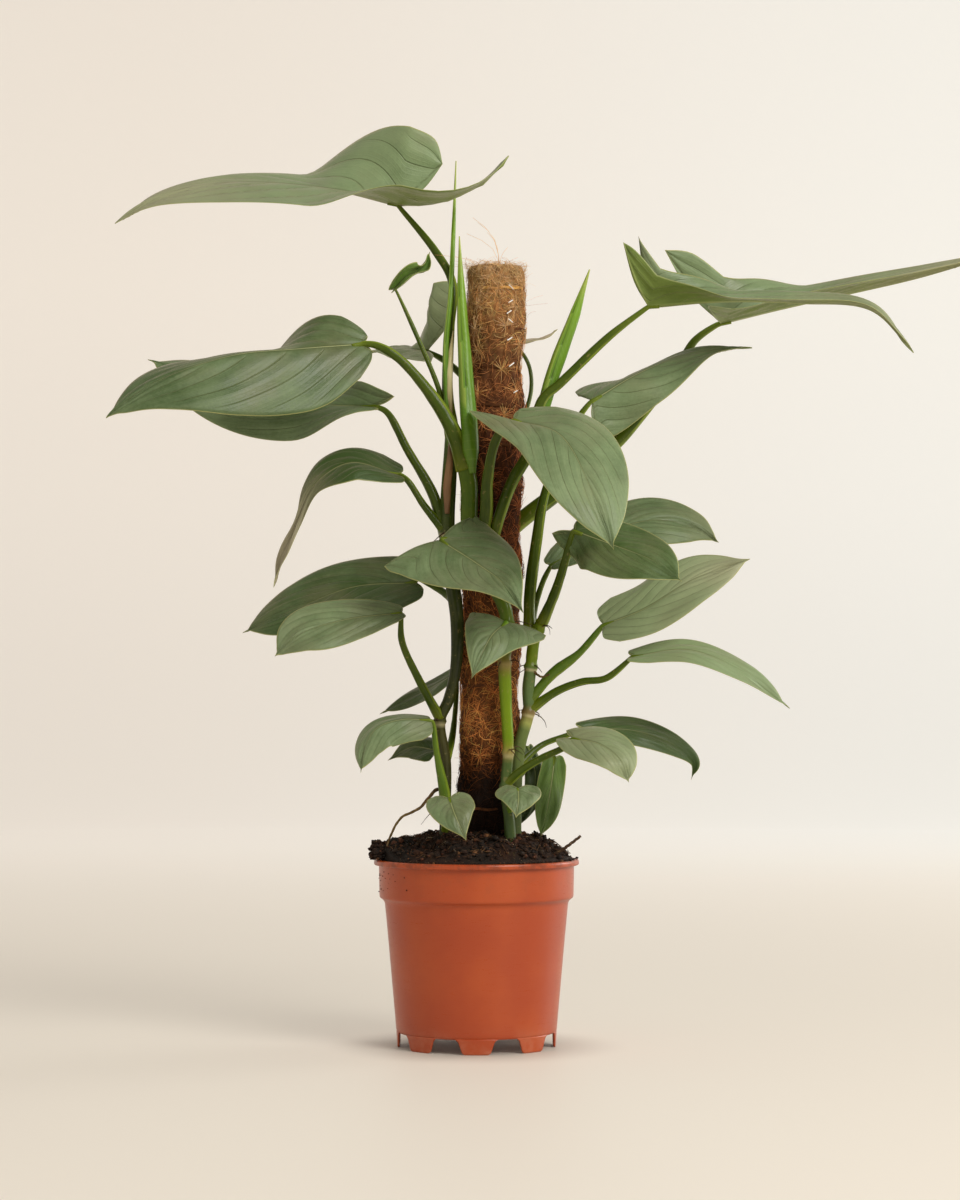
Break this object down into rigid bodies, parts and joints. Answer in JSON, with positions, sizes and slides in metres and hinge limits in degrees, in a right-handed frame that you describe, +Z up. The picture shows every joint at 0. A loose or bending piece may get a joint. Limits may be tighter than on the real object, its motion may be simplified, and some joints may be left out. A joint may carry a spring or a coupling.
{
  "type": "potted climbing plant",
  "caption": "Climbing philodendron with arrow-shaped grey-green leaves on a coir pole, rooted in a tapered round plastic nursery pot of potting soil.",
  "frame": {"origin": "on the floor, under the middle of the whole plant's box", "axes": "+Z up from the floor, -Y towards the viewer of the plant's front, +X to that viewer's right; the pot's own axis is vertical, to the left of and behind the origin"},
  "size_m": [0.7324, 0.279, 0.7635],
  "materials": {
    "pot_plastic": "satin terracotta-coloured plastic",
    "potting_soil": "rough moist peat",
    "coir": "matted coconut fibre with twine",
    "stake_wood": "plain",
    "stem": "satin green skin",
    "young_leaf": "glossy light green",
    "leaf_blade": "satin silvery green, leathery",
    "root_and_twig": "dry brown"
  },
  "bodies": {
    "root": {"stem_left": "stem", "stem_front": "stem", "stem_right": "stem", "stem_back": "stem", "leaf_top_left": "leaf_blade", "leaf_young_curled": "young_leaf", "leaf_behind_pole": "leaf_blade", "leaf_behind_pole_right": "leaf_blade", "leaf_upper_left": "leaf_blade", "leaf_upper_left_rear": "leaf_blade", "leaf_hanging": "leaf_blade", "leaf_mid_left": "leaf_blade", "leaf_mid_left_front": "leaf_blade", "leaf_front_arrow": "leaf_blade", "leaf_front_small": "leaf_blade", "leaf_front_large": "leaf_blade", "leaf_upper_right": "leaf_blade", "leaf_top_right": "leaf_blade", "leaf_top_right_rear": "leaf_blade", "leaf_mid_right": "leaf_blade", "leaf_mid_right_rear": "leaf_blade", "leaf_right_wide": "leaf_blade", "leaf_right_long": "leaf_blade", "leaf_low_right": "leaf_blade", "leaf_low_right_rear": "leaf_blade", "leaf_low_hanging": "leaf_blade", "leaf_low_front": "leaf_blade", "leaf_low_centre": "leaf_blade", "leaf_low_left": "leaf_blade", "leaf_low_left_rear": "leaf_blade", "leaf_left_behind_stem": "leaf_blade", "leaf_low_strip": "leaf_blade", "rolled_leaf_left": "young_leaf", "rolled_leaf_front": "young_leaf", "rolled_leaf_right": "young_leaf", "aerial_root_left": "root_and_twig", "aerial_root_right": "root_and_twig", "coir_pole": "coir", "pole_stake": "stake_wood", "pot": "pot_plastic", "soil": "potting_soil", "twig": "root_and_twig"}
  },
  "joints": []
}
